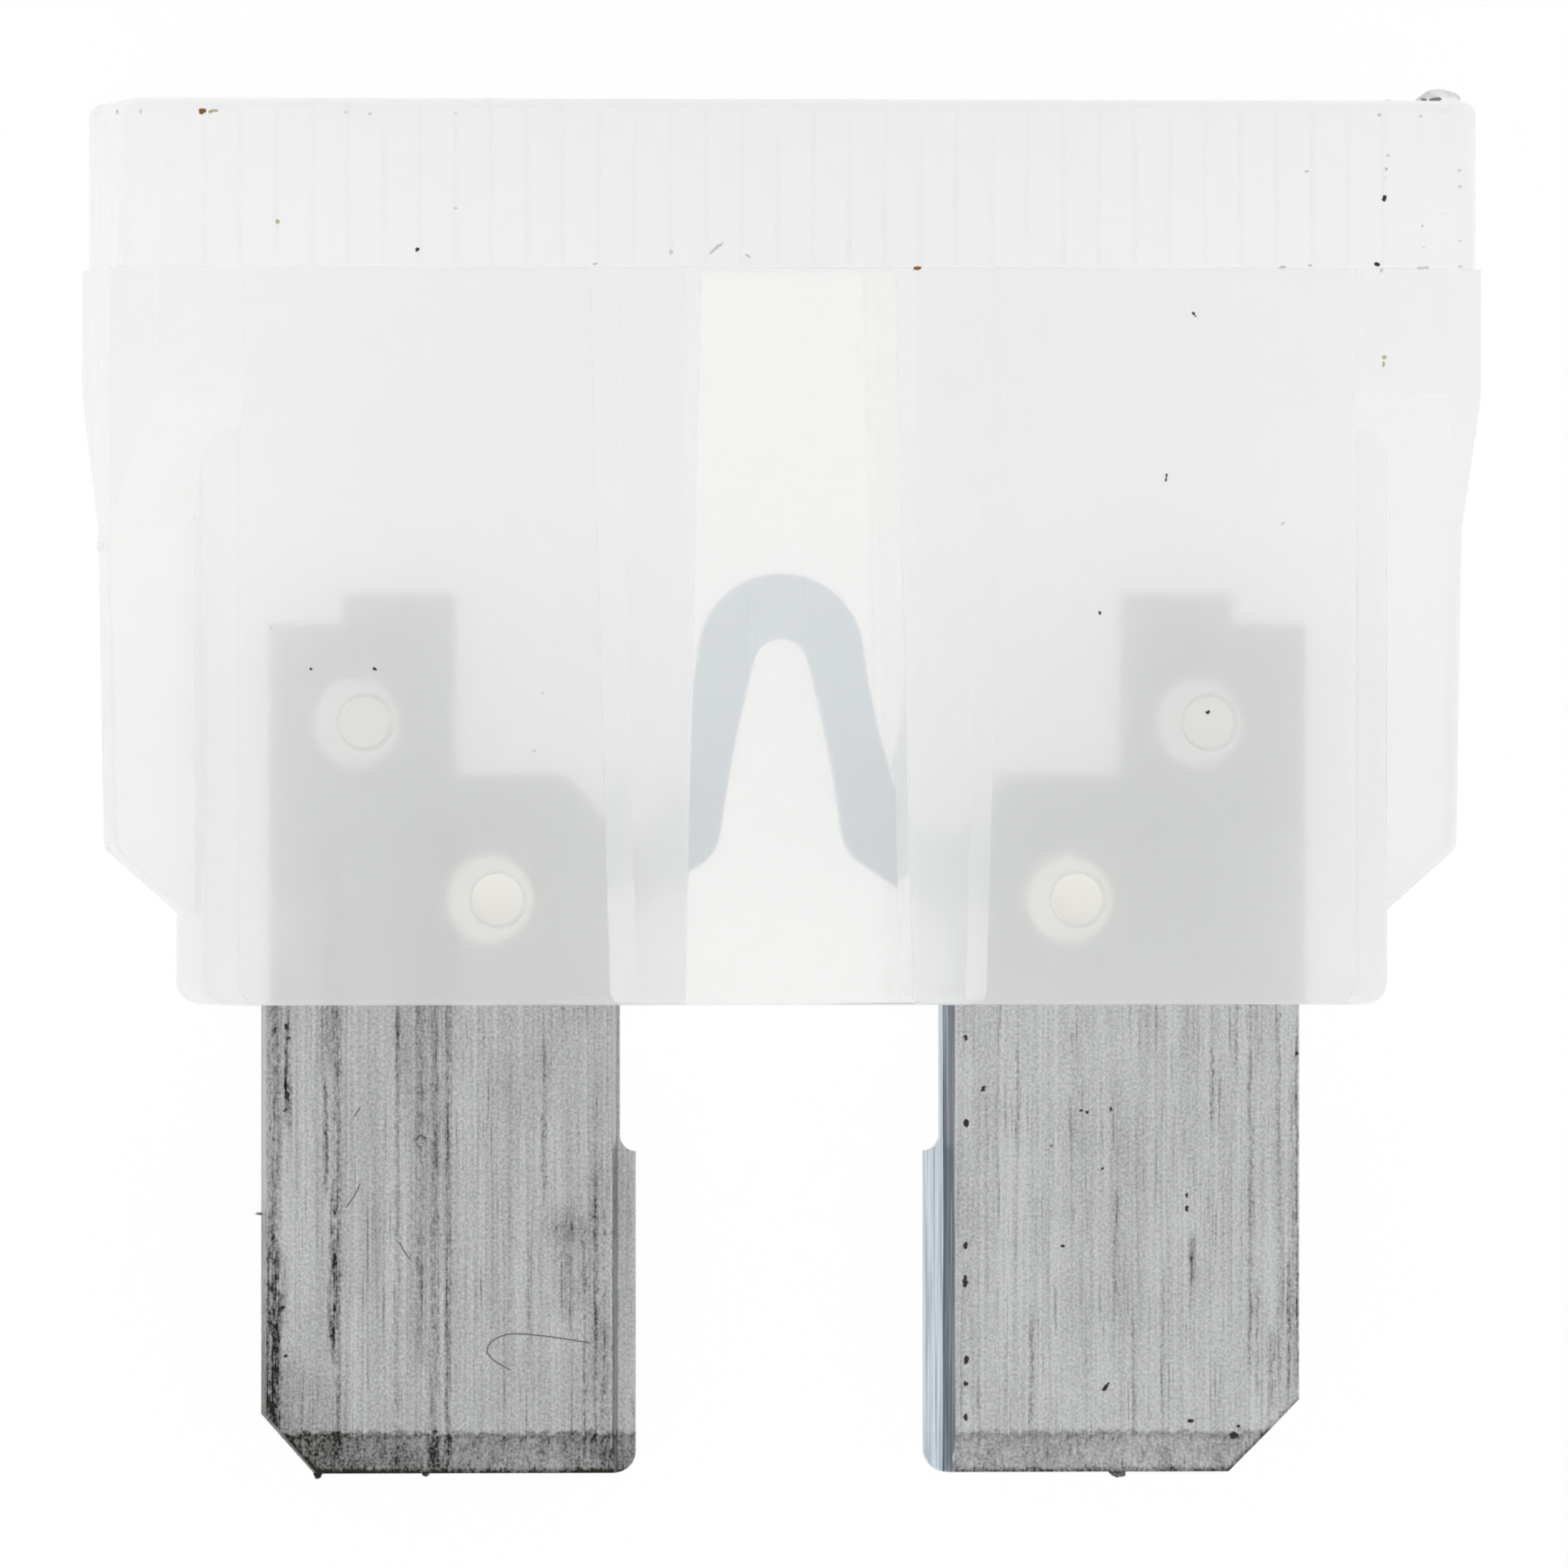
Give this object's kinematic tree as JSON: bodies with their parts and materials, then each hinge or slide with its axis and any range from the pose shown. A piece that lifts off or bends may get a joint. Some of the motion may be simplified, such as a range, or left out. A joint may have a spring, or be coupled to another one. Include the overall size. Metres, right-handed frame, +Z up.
{
  "type": "automotive blade fuse",
  "caption": "Plug-in blade fuse: a translucent moulded housing with a ribbed head and side fins over a stamped metal element with flat blades and an arched link.",
  "frame": {"origin": "centre of the bounding box's bottom face, on the surface that the fuse lies on, under the middle of its outline", "axes": "+Z up, square to the fuse's wide faces; +X across both blades; +Y from the blade tips to the head"},
  "size_m": [0.019, 0.019, 0.0051],
  "materials": {
    "housing": "milky translucent moulded nylon, satin",
    "fuse_element": "tinned zinc strip with fine draw lines along the blades"
  },
  "bodies": {
    "root": {"housing": "housing", "fuse_element": "fuse_element"}
  },
  "joints": []
}
